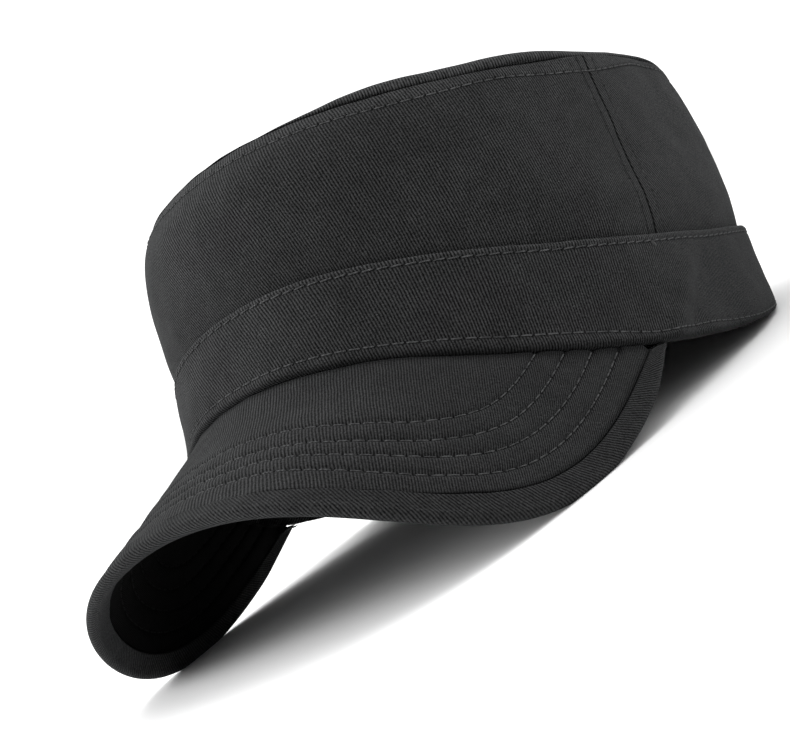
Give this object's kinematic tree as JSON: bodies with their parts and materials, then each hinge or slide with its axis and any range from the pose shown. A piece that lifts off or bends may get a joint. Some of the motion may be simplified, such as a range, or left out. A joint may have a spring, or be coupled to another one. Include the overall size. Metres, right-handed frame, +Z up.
{
  "type": "patrol cap",
  "caption": "Black cotton twill patrol cap with a puffed oval top, an applied band and a curved peak with a bound edge.",
  "frame": {"origin": "under the middle of the resting cap, on the surface it rests on", "axes": "+Z up, -Y towards the peak, which is the wearer's front, +X towards the wearer's left"},
  "size_m": [0.1562, 0.2652, 0.1156],
  "materials": {
    "crown_twill": "washed black cotton twill",
    "band_twill": "washed black cotton twill, folded double",
    "peak_twill": "black cotton twill over board, stitched in rows",
    "binding_twill": "black cotton twill cut on the bias",
    "sweat_cotton": "plain black cotton"
  },
  "bodies": {
    "root": {"crown_front": "crown_twill", "crown_back": "crown_twill", "top_panel": "crown_twill", "band": "band_twill", "sweatband": "sweat_cotton", "peak": "peak_twill", "peak_binding": "binding_twill"}
  },
  "joints": []
}
